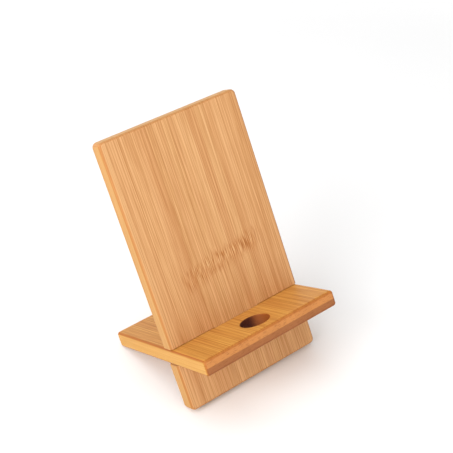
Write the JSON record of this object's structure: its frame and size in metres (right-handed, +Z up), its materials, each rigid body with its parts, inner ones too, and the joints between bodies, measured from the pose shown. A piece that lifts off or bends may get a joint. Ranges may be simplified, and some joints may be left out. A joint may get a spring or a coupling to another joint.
{
  "type": "phone stand",
  "caption": "Tilted phone stand of crossed bamboo boards: a tall back board, and a ledge with a round cable hole whose rear arms prop it from behind.",
  "frame": {"origin": "on the floor, in the middle of the footprint", "axes": "+Z up, the ledge and the face the phone leans on toward -Y, +X to the right as seen from the front"},
  "size_m": [0.075, 0.0818, 0.1228],
  "materials": {
    "bamboo_back": "satin clear lacquer over vertical-grain bamboo, grain up the board",
    "bamboo_shelf": "satin clear lacquer over vertical-grain bamboo, grain front to back"
  },
  "bodies": {
    "back": {"back_board": "bamboo_back"},
    "shelf": {"shelf_board": "bamboo_shelf"}
  },
  "joints": [
    {"name": "shelf_slide", "type": "slide", "parent": "back", "child": "shelf", "axis": [0, -0.9048, 0.4258], "range_m": [0, 0.054]}
  ]
}
